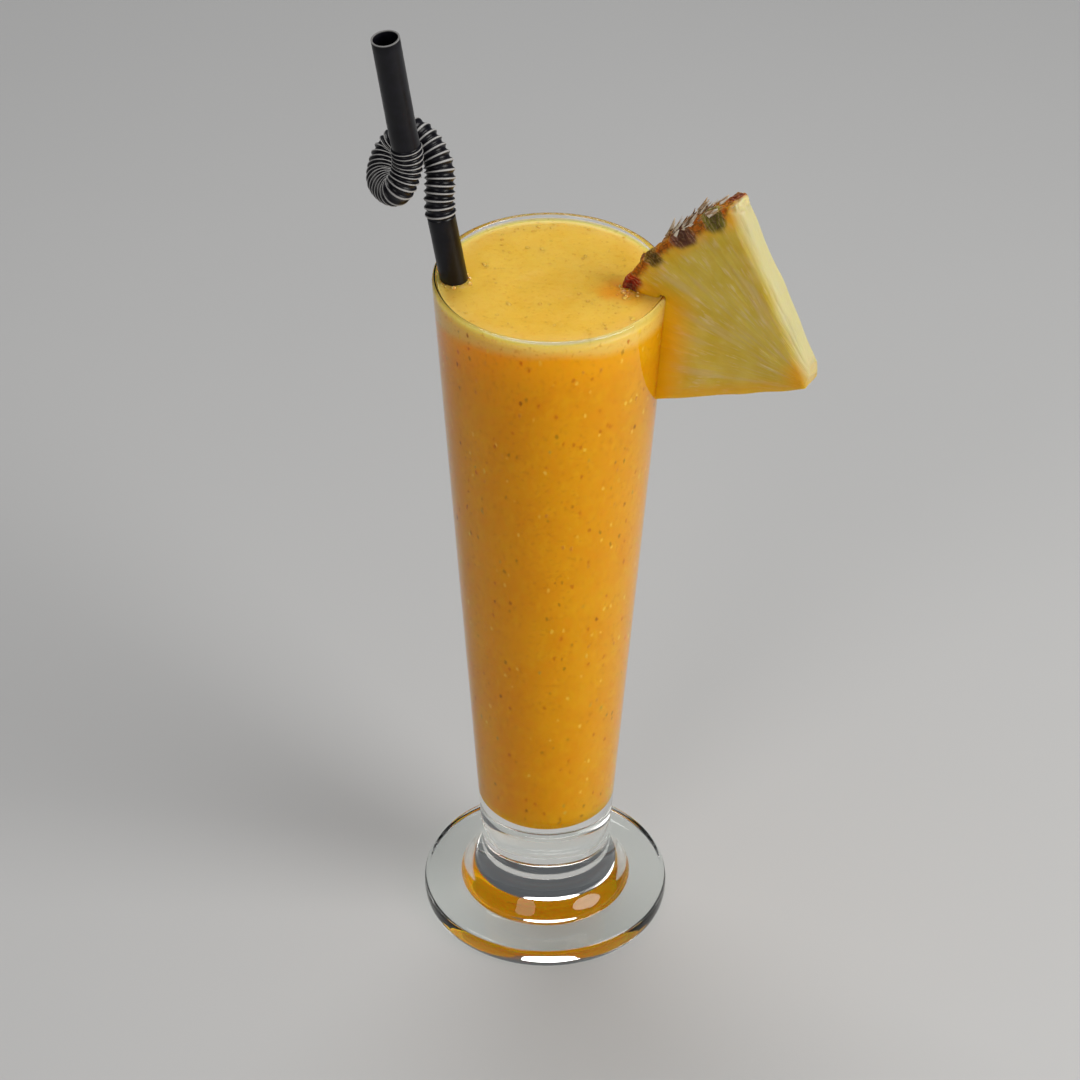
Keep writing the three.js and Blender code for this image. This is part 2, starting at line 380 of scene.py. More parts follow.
# The straw and the slice of pineapple stand in the drink, so their places are set here. A length
# without MM is in millimetres.
STRAW_RADIUS = 3.95 * MM
STRAW_TAIL = (2.9, 0.5, 45)
STRAW_BEND = [
    (-29.5, 0.5, 242.5),
    (-31, 1.5, 252),
    (-31.5, 6.5, 262.5),
    (-38, 12.5, 268.5),
    (-45, 14.5, 262),
    (-47, 6, 257.5),
    (-42.5, -3.5, 260),
    (-39.5, -3, 268.5),
    (-41, -3, 280.5),
]
STRAW_MOUTH = (-44.8, -5.2, 308.6)
SLICE_TURN = math.radians(28)
SLICE_CORE = np.array((72.8, -31.7, 214.4)) * MM
SLICE_THICKNESS = 7.6
RIND_RADIUS = 57.6
RIND_SWELL = 3.4
JUICE_PLACE = (19.5, -4.5)


def vectors(tree, operation, *values, output=0):
    """A Vector Math node on vectors."""
    sockets = dict(enumerate(values))
    return Wire.node(tree, "ShaderNodeVectorMath", {"operation": operation}, sockets, output)


def drink_material():
    """Cloudy mango, paler on top, mottled with pulp and flecked, with a painted glow in its upper body
    and a painted pale band of light under the rim.
    """
    material, tree, place = new_material("mango_drink")
    height = Wire.node(tree, "ShaderNodeSeparateXYZ", None, {"Vector": place}, "Z")
    in_plan = vectors(tree, "MULTIPLY", place, (1, 1, 0))
    radius = vectors(tree, "LENGTH", in_plan, output="Value")
    stirred = Wire.node(tree, "ShaderNodeMapping", None, {"Vector": place, "Scale": (1, 1, 0.6)})
    cloud = noise_at(tree, stirred, 12 * MM, 3)
    swirl = noise_at(tree, place, 30 * MM, 2)
    mottle = noise_at(tree, stirred, 2.4 * MM, 4, 0.65)
    grain = noise_at(tree, place, 1.3 * MM, 3, 0.6)
    ragged = noise_at(tree, place, 1.1 * MM).beside("Color")
    flecked = vectors(tree, "MULTIPLY_ADD", ragged, (SPECK_STRAY,) * 3, stirred)
    sockets = {"Vector": flecked, "Scale": 1 / SPECK_SPACING}
    specks = Wire.node(tree, "ShaderNodeTexVoronoi", None, sockets)
    speck = 1 - specks.ramp(0.09, 0.29)
    chosen = Wire.node(tree, "ShaderNodeSeparateColor", None, {"Color": specks.beside("Color")})
    top = height.ramp(DRINK_LEVEL - 1.2 * MM, DRINK_LEVEL - 0.3 * MM)
    side = height.beside("X") / RIM_RADIUS
    # Painted light: a pale band under the rim, wider at the sides, stands in for light from above
    # scattering down from the top; the same band takes the thinner subsurface shader.
    neck = height + (swirl - 0.5) * (6 * MM) + side * side * (5 * MM)
    neck = neck.ramp(DRINK_LEVEL - 5.6 * MM, DRINK_LEVEL - 1.4 * MM)
    body = blended(cloud.ramp(0.3, 0.7), BODY_DEEP, BODY_LIGHT)
    body = blended(mottle.ramp(0.45, 0.75) * 0.45, body, BODY_MOTTLE)
    # Painted light: the upper body is painted brighter, standing in for light from above coming down
    # through the drink's top.
    painted_glow = height.ramp(DRINK_LEVEL - 18 * MM, DRINK_LEVEL - 5 * MM) * 0.8
    body = blended(painted_glow, body, BODY_PAINTED_GLOW)
    body = blended(neck * 0.9, body, NECK_PAINTED_GLOW)
    surface = blended(cloud.ramp(0.3, 0.7), TOP_DEEP, TOP_LIGHT)
    # Painted light: the top is painted paler towards the glass wall, most at the edge, as part of the
    # pale band of light under the rim.
    rim = radius.ramp(RIM_RADIUS - 9 * MM, RIM_RADIUS - 2.2 * MM) * (0.45 + cloud * 0.7)
    surface = blended(rim * 0.8, surface, TOP_RIM_PAINTED_GLOW)
    edge = radius.ramp(RIM_RADIUS - 4 * MM, RIM_RADIUS - 1.8 * MM)
    surface = blended(edge * 0.8, surface, TOP_EDGE_PAINTED_GLOW)
    juice_place = (*(c * MM for c in JUICE_PLACE), DRINK_LEVEL)
    from_juice = vectors(tree, "DISTANCE", place, juice_place, output="Value")
    juice = (1 - (from_juice + (cloud - 0.5) * (8 * MM)).ramp(2 * MM, 9 * MM)) * 0.85
    surface = blended(juice, surface, RIND_JUICE)
    skin = blended(top, body, surface)
    skin = blended(grain.ramp(0.52, 0.75) * (0.45 - 0.2 * top), skin, GRAIN)
    pale = speck * chosen.beside("Blue").ramp(0.7, 0.74) * (0.85 - 0.25 * top)
    skin = blended(pale, skin, PALE_SPECK)
    orange = speck * chosen.ramp(0.74, 0.78) * (0.75 - 0.5 * top)
    skin = blended(orange, skin, ORANGE_SPECK)
    blots = noise_at(tree, place, 1.9 * MM, 2).ramp(0.62, 0.74)
    skin = blended(blots * top * 0.5, skin, TOP_BLOT)
    olive = speck * chosen.beside("Green").ramp(0.8, 0.84) * (0.5 - 0.3 * top)
    skin = blended(olive, skin, OLIVE_SPECK)
    relief = grain * 0.6 + speck * chosen.ramp(0.6, 0.8) * (1 - 0.6 * top)
    look = {
        "Base Color": skin,
        "Roughness": 0.9 - 0.2 * grain,
        "Specular IOR Level": 0.0,
        "Coat Weight": top * (1.2 - 0.5 * grain),
        "Coat Roughness": 0.32,
        "Coat IOR": 1.38,
        "Subsurface Weight": 0.85,
        "Normal": bumped(tree, relief, 0.11 * MM),
    }
    deep = principled(tree, look | {
        "Subsurface Radius": (1.0, 0.14, 0.03),
        "Subsurface Scale": 34 * MM,
    })
    thin = principled(tree, look | {
        "Subsurface Radius": (1.0, 0.8, 0.35),
        "Subsurface Scale": 7 * MM,
    })
    sockets = {"Fac": neck.math("MAXIMUM", top), 1: deep, 2: thin}
    output(tree, Wire.node(tree, "ShaderNodeMixShader", None, sockets))
    return material


def from_line(points, start, end):
    """Distance of each point from a straight line."""
    along = (end - start) / np.linalg.norm(end - start)
    offset = points - start
    return np.linalg.norm(offset - np.outer(offset @ along, along), axis=1)


def from_wedge(points):
    """Distance in plan of each point from the pineapple where it stands in the drink's top."""
    reach = math.sqrt(((RIND_RADIUS + RIND_SWELL) * MM) ** 2 - (DRINK_LEVEL - SLICE_CORE[2]) ** 2)
    offset = points[:, :2] - SLICE_CORE[:2]
    along = offset @ (math.cos(SLICE_TURN), -math.sin(SLICE_TURN))
    depth = offset @ (math.sin(SLICE_TURN), math.cos(SLICE_TURN))
    outside = np.stack([-reach - along, -depth, depth - SLICE_THICKNESS * MM], 1)
    return np.linalg.norm(np.clip(outside, 0, None), axis=1)


def lumps(points, size, seed):
    """Noise of -1 to 1 at each point, with lumps of about the given size in each direction."""
    shift = Vector((17.3 * seed, 5.1 * seed, 9.7 * seed))
    size = np.broadcast_to(size, 3)
    return np.array([noise.noise(Vector(p) + shift) for p in points / size])


def tree_of(name, inputs):
    """A geometry tree with named inputs, and what is given to it."""
    tree = bpy.data.node_groups.new(name, "GeometryNodeTree")
    tree.interface.new_socket("Geometry", in_out="INPUT", socket_type="NodeSocketGeometry")
    for label, kind in inputs.items():
        tree.interface.new_socket(label, in_out="INPUT", socket_type="NodeSocket" + kind)
    tree.interface.new_socket("Geometry", in_out="OUTPUT", socket_type="NodeSocketGeometry")
    given = Wire.node(tree, "NodeGroupInput", None, None, "Geometry")
    return tree, given


def stored(tree, name, kind="FLOAT"):
    """What is kept under a name on the mesh that a tree works on."""
    return Wire.node(tree, "GeometryNodeInputNamedAttribute", {"data_type": kind}, {"Name": name})


def drawn_between(tree, seed, low=0.0, high=1.0):
    """A random number between two, drawn for each point."""
    return Wire.node(tree, "FunctionNodeRandomValue", None, {2: low, 3: high, "Seed": seed}, 1)


def ends_in(tree, geometry, material):
    """Ends a tree with plain faces in a material."""
    real = Wire.node(tree, "GeometryNodeRealizeInstances", None, {"Geometry": geometry})
    smooth = Wire.node(tree, "GeometryNodeSetShadeSmooth", None, {"Geometry": real})
    sockets = {"Geometry": smooth, "Material": material}
    painted = Wire.node(tree, "GeometryNodeSetMaterial", None, sockets)
    Wire.node(tree, "NodeGroupOutput", None, {"Geometry": painted})


def grown(mesh, name, tree, values, finish=None):
    """The plain mesh that a tree makes of a mesh, with its inputs set by name."""
    carrier = new_piece(name, mesh)
    modifier = carrier.modifiers.new(name, "NODES")
    modifier.node_group = tree
    for item in tree.interface.items_tree:
        if item.in_out == "INPUT" and item.name in values:
            modifier[item.identifier] = values[item.name]
    if finish:
        finish(carrier)
    return applied(carrier, name)


def applied(carrier, name):
    """The plain mesh of an object with its modifiers, which is then taken out of the scene."""
    shaped = carrier.evaluated_get(bpy.context.evaluated_depsgraph_get())
    mesh = bpy.data.meshes.new_from_object(shaped)
    mesh.name = name
    bpy.data.objects.remove(carrier)
    return mesh


def bits_tree():
    """Rounded bits strewn on a surface, most of them small, thick where its bed is high."""
    tree, given = tree_of("strewn_bits", {
        "Density": "Float", "Smallest": "Float", "Largest": "Float", "Height": "Float",
        "Seed": "Int", "Material": "Material",
    })
    seed = given.beside("Seed")
    points = Wire.node(tree, "GeometryNodeDistributePointsOnFaces", None, {
        "Mesh": given, "Density": given.beside("Density") * stored(tree, "bed"), "Seed": seed,
    })
    spread = given.beside("Largest") - given.beside("Smallest")
    size = given.beside("Smallest") + spread * drawn_between(tree, seed) ** 3
    width = drawn_between(tree, seed + 1, 0.7, 1.5)
    scale = Wire.node(tree, "ShaderNodeCombineXYZ", None, {
        "X": size * width, "Y": size, "Z": size * given.beside("Height"),
    })
    angle = drawn_between(tree, seed + 2, 0.0, 2 * math.pi)
    turn = Wire.node(tree, "ShaderNodeCombineXYZ", None, {"Z": angle})
    bit = Wire.node(tree, "GeometryNodeMeshIcoSphere", None, {"Radius": 1.0, "Subdivisions": 2})
    bits = Wire.node(tree, "GeometryNodeInstanceOnPoints", None, {
        "Points": points, "Instance": bit, "Scale": scale,
        "Rotation": Wire.node(tree, "FunctionNodeEulerToRotation", None, {"Euler": turn}),
    })
    ends_in(tree, bits, given.beside("Material"))
    return tree


def bit_material(name, dark, light, roughness):
    """Wet bits of fruit, each a little different."""
    material, tree, place = new_material(name)
    patches = noise_at(tree, place, 2.2 * MM, 3)
    output(tree, principled(tree, {
        "Base Color": blended(patches.ramp(0.35, 0.65), dark, light),
        "Roughness": roughness + 0.12 * noise_at(tree, place, 0.6 * MM, 2),
        "Subsurface Weight": 0.5,
        "Subsurface Radius": (1.0, 0.5, 0.15),
        "Subsurface Scale": 1.5 * MM,
        "Normal": bumped(tree, patches, 0.1 * MM),
    }))
    return material


def store(mesh, name, values):
    """Keeps a number or a vector for each point of a mesh under a name."""
    kind, key = ("FLOAT", "value") if values.ndim == 1 else ("FLOAT_VECTOR", "vector")
    mesh.attributes.new(name, kind, "POINT").data.foreach_set(key, values.ravel())


def strew(name, bed, density, sizes, height, seed, material):
    """Strews bits over the drink's top as a piece of their own."""
    mesh = drink_mesh.copy()
    store(mesh, "bed", bed)
    mesh = grown(mesh, name, bits_tree(), {
        "Density": density,
        "Smallest": sizes[0],
        "Largest": sizes[1],
        "Height": height,
        "Seed": seed,
        "Material": material,
    })
    new_piece(name, mesh, "drink")


wall = inner_radius(DRINK_LEVEL) + WETTING
rings = np.linspace(wall - CLIMB_WIDTH, 0, TOP_RINGS)[1:]
drink_profile = [
    [(0, DRINK_LEVEL)],
    [(radius, DRINK_LEVEL) for radius in rings[-2::-1]],
    bend((wall - CLIMB_WIDTH, DRINK_LEVEL), (wall, DRINK_LEVEL), (wall, DRINK_LEVEL + CLIMB), 12),
    *hollow(DRINK_LEVEL + CLIMB, WETTING, 60),
]
drink_mesh = turned("drink_body", drink_profile, DRINK_SIDES)
drink_mesh.flip_normals()
points = np.array([v.co for v in drink_mesh.vertices])
on_top = points[:, 2] > DRINK_LEVEL - HAIR
straw_foot = np.multiply(STRAW_TAIL, MM)
straw_knee = np.multiply(STRAW_BEND[0], MM)
from_straw = from_line(points, straw_foot, straw_knee) - STRAW_RADIUS
from_rind = from_wedge(points)
from_wall = wall - np.linalg.norm(points[:, :2], axis=1)
lift = STRAW_CLIMB * np.exp(-np.clip(from_straw, 0, None) / CLIMB_REACH)
lift += RIND_CLIMB * np.exp(-from_rind / CLIMB_REACH)
swell = BROAD_SWELL * lumps(points, 8 * MM, 0) + FINE_SWELL * lumps(points, 1.7 * MM, 0)
points[:, 2] += on_top * (lift + np.clip(from_wall / CALM_EDGE, 0, 1) * swell)
drink_mesh.vertices.foreach_set("co", points.ravel())
drink_mesh.materials.append(drink_material())
new_piece("drink_body", drink_mesh, "drink", "drink")

open_top = on_top & (from_straw > 0) & (from_rind > 0) & (from_wall > 0.5 * MM)
pulp_bed = open_top * np.clip(0.6 + lumps(points, 7 * MM, 3), 0, 1)
pulp = bit_material("mango_pulp", colour(226, 162, 34), colour(240, 188, 70), 0.4)
strew("drink_pulp", pulp_bed, PULP_DENSITY, PULP_SIZES, 0.3, 5, pulp)
juice = np.linalg.norm(points[:, :2] - np.multiply(JUICE_PLACE, MM), axis=1)
froth_bed = np.exp(-from_rind / (1.2 * MM)) * np.exp(-((juice / (5 * MM)) ** 2))
froth_bed += 0.14 * np.exp(-np.abs(from_straw) / (0.6 * MM))
froth = bit_material("juice_froth", colour(228, 150, 30), colour(244, 206, 120), 0.06)
strew("drink_froth", open_top * froth_bed, FROTH_DENSITY, FROTH_SIZES, 0.75, 2, froth)


# The straw: a black plastic tube with a pleated bellows, drawn out and bent round one full turn. It
# stands in the drink and leans on the rim, on the line that is set with the drink.
STRAW_WALL = 0.45 * MM
CUT_BEVEL = 0.13 * MM
CUT_ANGLE = math.radians(65)
STRAW_SIDES = 40
BELLOWS_INSET = 6.6 * MM
RIDGES = 41
RIDGE_CREST = 4.45 * MM
RIDGE_VALLEY = 3.75 * MM
RIDGE_STRETCH = 0.14
RIDGE_SHARPNESS = 1.7
TAIL_STEPS = 24
STEPS_PER_STRETCH = 72
MOUTH_STEPS = 10
PLASTIC_DARK = colour(7, 6, 12)
PLASTIC_LIGHT = colour(17, 16, 25)
# Pale crests and cut end: stress whitening together with a painted highlight.
WHITENED_AND_SHEEN = colour(190, 188, 187)


def read(tree, name, output="Fac"):
    """What is kept under a name on the piece, for its material."""
    return Wire.node(tree, "ShaderNodeAttribute", {"attribute_name": name}, None, output)


def straw_material(length):
    """Glossy black plastic with a violet cast, pale where the bellows and the cut stretch it: partly
    whitening, partly a painted highlight.
    """
    material, tree, place = new_material("black_plastic")
    drawn = Wire.node(tree, "ShaderNodeMapping", None, {"Vector": place, "Scale": (1, 1, 0.06)})
    lines = noise_at(tree, drawn, 0.5 * MM, 3)
    scuffs = noise_at(tree, place, 3 * MM, 5, 0.65)
    dark = blended(scuffs.ramp(0.35, 0.75), PLASTIC_DARK, PLASTIC_LIGHT)
    # The crests and the cut end are painted pale: partly whitened plastic, partly a painted highlight
    # of the lamps.
    crest = read(tree, "crest").ramp(0.66, 1) * (0.6 + 0.5 * scuffs)
    cut_end = read(tree, "along").ramp(length - 0.4 * MM, length)
    output(tree, principled(tree, {
        "Base Color": blended(crest.math("MAXIMUM", cut_end * 0.4), dark, WHITENED_AND_SHEEN),
        "Roughness": 0.28 + 0.16 * scuffs.ramp(0.35, 0.8),
        "Specular IOR Level": 0.28,
        "Normal": bumped(tree, lines, 0.02 * MM),
    }))
    return material


def smooth_through(knots, steps):
    """A curve through every knot, each stretch shaped by the knots on either side of it."""
    knots = np.array(knots, float)
    ends = np.vstack([2 * knots[0] - knots[1], knots, 2 * knots[-1] - knots[-2]])
    share = np.linspace(0, 1, steps, endpoint=False)[:, None]
    rise = share ** 2 * (3 - 2 * share)
    leave = share * (1 - share) ** 2
    arrive = share ** 2 * (share - 1)
    stretches = []
    for before, here, there, after in zip(ends, ends[1:], ends[2:], ends[3:]):
        pull = leave * (there - before) / 2 + arrive * (after - here) / 2
        stretches.append(here + rise * (there - here) + pull)
    return np.vstack(stretches)


def bellows_tree():
    """A tube along a line, with ridges packed a little closer towards the mouthpiece."""
    tree, given = tree_of("bellows_straw", {
        "Plain Radius": "Float", "Crest": "Float", "Valley": "Float", "First": "Float",
        "Span": "Float", "Ridges": "Int", "Stretch": "Float", "Sides": "Int", "Material": "Material",
    })
    share = (stored(tree, "along") - given.beside("First")) / given.beside("Span")
    stretch = given.beside("Stretch")
    root = ((stretch + 1) ** 2 - stretch * share * 4).math("MAXIMUM", 0).math("SQRT")
    part = (stretch + 1 - root) / (stretch * 2)
    wave = 0.5 - 0.5 * (part * given.beside("Ridges") * (2 * math.pi)).math("COSINE")
    ridge = wave ** RIDGE_SHARPNESS
    ridged = given.beside("Valley") + (given.beside("Crest") - given.beside("Valley")) * ridge
    within = share.math("GREATER_THAN", 0) * share.math("LESS_THAN", 1)
    plain = given.beside("Plain Radius")
    radius = plain + (ridged - plain) * within
    line = Wire.node(tree, "GeometryNodeMeshToCurve", None, {"Mesh": given})
    line = Wire.node(tree, "GeometryNodeStoreNamedAttribute", {"data_type": "FLOAT"}, {
        "Geometry": line, "Name": "crest", "Value": ridge * within,
    })
    sockets = {"Resolution": given.beside("Sides"), "Radius": 1.0}
    circle = Wire.node(tree, "GeometryNodeCurvePrimitiveCircle", None, sockets)
    sockets = {"Curve": line, "Profile Curve": circle, "Scale": radius}
    tube = Wire.node(tree, "GeometryNodeCurveToMesh", None, sockets)
    ends_in(tree, tube, given.beside("Material"))
    return tree


def straw_wall(carrier):
    """Gives the tube its wall, inwards, and rounds its two cut ends."""
    shell = carrier.modifiers.new("wall", "SOLIDIFY")
    shell.thickness = STRAW_WALL
    shell.offset = -1
    edge = carrier.modifiers.new("cut_ends", "BEVEL")
    edge.width = CUT_BEVEL
    edge.segments = 2
    edge.limit_method = "ANGLE"
    edge.angle_limit = CUT_ANGLE


bend_line = smooth_through(STRAW_BEND, STEPS_PER_STRETCH)
tail_line = np.linspace(STRAW_TAIL, STRAW_BEND[0], TAIL_STEPS, endpoint=False)
mouth_line = np.linspace(STRAW_BEND[-1], STRAW_MOUTH, MOUTH_STEPS)
line = MM * np.vstack([tail_line, bend_line, mouth_line])
along = np.concatenate([[0], np.cumsum(np.linalg.norm(np.diff(line, axis=0), axis=1))])
bend_first = along[len(tail_line)]
bend_last = along[len(tail_line) + len(bend_line)]
straw_mesh = bpy.data.meshes.new("straw_line")
straw_mesh.from_pydata(line.tolist(), [(i, i + 1) for i in range(len(line) - 1)], [])
store(straw_mesh, "along", along)
straw_mesh = grown(straw_mesh, "straw_tube", bellows_tree(), {
    "Plain Radius": STRAW_RADIUS,
    "Crest": RIDGE_CREST,
    "Valley": RIDGE_VALLEY,
    "First": bend_first + BELLOWS_INSET,
    "Span": bend_last - bend_first - 2 * BELLOWS_INSET,
    "Ridges": RIDGES,
    "Stretch": RIDGE_STRETCH,
    "Sides": STRAW_SIDES,
    "Material": straw_material(along[-1]),
}, straw_wall)
new_piece("straw_tube", straw_mesh, "straw", "straw")


# The pineapple: a sector cut from a round slice, slit and pushed down over the rim. Its flesh is wet
# and fibrous, and its rind has woody eyes with dry pointed scales. It is carved in millimetres about
# the fruit's core, with angles in degrees, and then set on the rim.
SLICE_START = 116.8
SLICE_END = 203
TIP_CUT = 2.35
SWELL_START = 142
SWELL_END = 166
EYE_ANGLE = 13
EYE_PHASE = 126
EYE_SIZES = (1, 1.15, 0.75, 1.2)
EYE_DEPTHS = (0.6, 7.0)
EYE_WIDTH = 4.3
EYE_HEIGHT = 3.6
EYE_RISE = 1.3
EYE_SINK = 0.7
CRAG_DEPTH = 0.6
FIBRE_DEPTH = 0.2
DENT_DEPTH = 0.38
SLICE_GRID = (90, 40, 8)
VOXEL = 0.42
UPPER_EDGE = 3.8
LOWER_EDGE = 1.2
TIP_EDGE = 1.4
SHARP_ANGLE = math.radians(50)
SCALE_DENSITY = 1e6
SWAY_LEAST = (-0.14, -0.25, -0.4)
SWAY_MOST = (0.04, 0.25, 0.4)
FLESH_DEEP = colour(226, 196, 62)
FLESH_LIGHT = colour(234, 210, 92)
FLESH_VEIN = colour(228, 204, 152)
FLESH_STREAK = colour(242, 220, 166)
# Gold flesh near the rind, and painted glow near the glass, at the tip and along the lower side.
FLESH_GOLD_AND_GLOW = colour(250, 184, 2)
# Painted sheen: pale flesh along the upper cut side, for the bright light and wet shine there.
FLESH_PAINTED_SHEEN = colour(206, 199, 153)
BARK_ORANGE = colour(206, 116, 14)
BARK_BROWN = colour(150, 98, 30)
EYE_RIDGE = colour(212, 176, 142)
EYE_HEART = colour(54, 26, 16)
BARK_CRACK = colour(60, 30, 14)
SCALE_STREAK = colour(130, 92, 56)


def smoothstep(values, low, high):
    """Rises smoothly from 0 at low to 1 at high."""
    share = np.clip((values - low) / (high - low), 0, 1)
    return share * share * (3 - 2 * share)


def rind_radius(degrees):
    """Radius of the slice in millimetres: the fruit swells towards the end in the drink."""
    return RIND_RADIUS + RIND_SWELL * smoothstep(degrees, SWELL_START, SWELL_END)


def slice_point(angle, reach, depth):
    """A point of the wedge, from its shares of the angle, the radius and the thickness."""
    degrees = SLICE_START + angle * (SLICE_END - SLICE_START)
    turn = math.radians(degrees)
    inner = -TIP_CUT / math.cos(turn)
    radius = inner + reach * (rind_radius(degrees) - inner)
    return radius * math.cos(turn), depth * SLICE_THICKNESS, radius * math.sin(turn)


def slice_grid(counts):
    """The wedge as the skin of a grid of angle, radius and thickness."""
    build = bmesh.new()
    for axis in range(3):
        first, second = (axis + 1) % 3, (axis + 2) % 3
        for end in (0, 1):
            rows = []
            for i in range(counts[first] + 1):
                row = []
                for j in range(counts[second] + 1):
                    share = [0, 0, 0]
                    share[axis] = end
                    share[first] = i / counts[first]
                    share[second] = j / counts[second]
                    row.append(build.verts.new(slice_point(*share)))
                rows.append(row)
            for low, high in zip(rows, rows[1:]):
                for a, b, c, d in zip(low, high, high[1:], low[1:]):
                    build.faces.new((a, b, c, d) if end else (d, c, b, a))
    bmesh.ops.remove_doubles(build, verts=build.verts, dist=0.001)
    bmesh.ops.recalc_face_normals(build, faces=build.faces)
    mesh = bpy.data.meshes.new("slice_grid")
    build.to_mesh(mesh)
    build.free()
    return mesh


def evenly_meshed(mesh):
    """The same form in small even faces, with its edges rounded."""
    carrier = new_piece("even_slice", mesh)
    even = carrier.modifiers.new("even", "REMESH")
    even.mode = "VOXEL"
    even.voxel_size = VOXEL
    soft = carrier.modifiers.new("soft", "SMOOTH")
    soft.factor = 0.5
    soft.iterations = 7
    return applied(carrier, "pineapple_wedge_piece")


def polar(points):
    """The angle in degrees and the radius of points about the fruit's core."""
    degrees = np.degrees(np.arctan2(points[:, 2], points[:, 0])) % 360
    return degrees, np.hypot(points[:, 0], points[:, 2])


def under_sides(points):
    """Depth of points in millimetres under the upper cut side and under the lower one."""
    degrees, radius = polar(points)
    upper = radius * np.sin(np.radians(degrees - SLICE_START))
    lower = radius * np.sin(np.radians(SLICE_END - degrees))
    return upper, lower


def eye_marks(points, ragged=0.22):
    """For points of the slice: how near each is to an eye of the rind, and which eye that is."""
    degrees, radius = polar(points)
    near = np.zeros(len(points))
    number = np.zeros(len(points))
    ragged = ragged * lumps(points, 1.8, 5)
    for row, eye_depth in enumerate(EYE_DEPTHS):
        place = (degrees - EYE_PHASE) / EYE_ANGLE - 0.5 * row
        which = np.round(place)
        size = np.take(EYE_SIZES, which.astype(int), mode="clip")
        across = (place - which) * math.radians(EYE_ANGLE) * radius / (EYE_WIDTH * size)
        down = (points[:, 1] - eye_depth) / (EYE_HEIGHT * size)
        share = np.clip(1 - np.hypot(across, down) + ragged, 0, 1)
        number = np.where(share > near, which + 0.5 * row, number)
        near = np.maximum(near, share)
    return near, number


def rounded(points, first, first_way, second, second_way, radius):
    """Rounds the edge of two flat sides: the depth under each, and the way in from each."""
    corner = np.stack([radius - first, radius - second], 1).clip(0)
    far = np.linalg.norm(corner, axis=1)
    push = (far - radius).clip(0) / far.clip(0.001)
    return points + push[:, None] * (corner[:, :1] * first_way + corner[:, 1:] * second_way)


def carved(mesh):
    """Carves the slice: soft edges, fibres and dents in the flesh, eyes and crags in the rind."""
    points = np.array([v.co for v in mesh.vertices])
    start, end = math.radians(SLICE_START), math.radians(SLICE_END)
    from_upper = np.array((-math.sin(start), 0, math.cos(start)))
    from_lower = np.array((math.sin(end), 0, -math.cos(end)))
    inwards = np.array((0, 1, 0))
    edges = [
        (0, inwards, 0, from_upper, UPPER_EDGE),
        (1, -inwards, 0, from_upper, UPPER_EDGE / 2),
        (0, inwards, 1, from_lower, LOWER_EDGE),
        (1, -inwards, 1, from_lower, LOWER_EDGE),
    ]
    for face, face_way, side, side_way, radius in edges:
        depth = (points[:, 1], SLICE_THICKNESS - points[:, 1])[face]
        points = rounded(points, depth, face_way, under_sides(points)[side], side_way, radius)
    from_tip = np.array((-1, 0, 0))
    for face, way in enumerate((inwards, -inwards, from_upper, from_lower)):
        depths = (points[:, 1], SLICE_THICKNESS - points[:, 1], *under_sides(points))
        points = rounded(points, -points[:, 0] - TIP_CUT, from_tip, depths[face], way, TIP_EDGE)
    mesh.vertices.foreach_set("co", points.ravel())
    mesh.update()
    normals = np.array([n.vector for n in mesh.vertex_normals])
    degrees, radius = polar(points)
    edge = rind_radius(degrees)
    rind = smoothstep(radius, edge - 3.6, edge - 0.6)
    near, _ = eye_marks(points)
    fibre_place = np.stack([degrees, radius, points[:, 1]], 1)
    fibres = lumps(fibre_place, (1.6, 11, 3), 1)
    dents = lumps(points, 9, 2)
    crags = 1 - 2 * np.abs(lumps(points, 1.5, 3))
    flat = np.abs(normals[:, 1])
    flesh = FIBRE_DEPTH * fibres + DENT_DEPTH * dents
    bark = EYE_RISE * near * (1 - flat) - EYE_SINK * smoothstep(near, 0.15, 0.6) * flat
    bark += CRAG_DEPTH * (crags - 0.5)
    points += normals * ((1 - rind) * flesh + rind * bark)[:, None]
    mesh.vertices.foreach_set("co", points.ravel())


def slit_ring():
    """The glass wall near the rim, a hair thinner than it is, which the slit is cut from."""
    low = 0.75 * GLASS_HEIGHT
    skin = 0.25 * MM
    film = 0.3 * MM
    profile = [
        (inner_radius(low) - film, low),
        (outer_radius(low) - skin, low),
        (RIM_RADIUS - skin, LIP),
        (RIM_RADIUS - skin, GLASS_HEIGHT),
        (RIM_RADIUS - RIM_WALL - film, GLASS_HEIGHT),
        (RIM_RADIUS - RIM_WALL - film, LIP),
    ]
    return turned("slit_ring", profile, GLASS_SIDES, ring=True)


def slit(mesh):
    """The slice with the slit that sits over the glass wall."""
    carrier = new_piece("slit_slice", mesh)
    ring = new_piece("slit_ring", slit_ring())
    cut = carrier.modifiers.new("slit", "BOOLEAN")
    cut.operation = "DIFFERENCE"
    cut.solver = "EXACT"
    cut.object = ring
    mesh = applied(carrier, "pineapple_wedge_piece")
    bpy.data.objects.remove(ring)
    return mesh


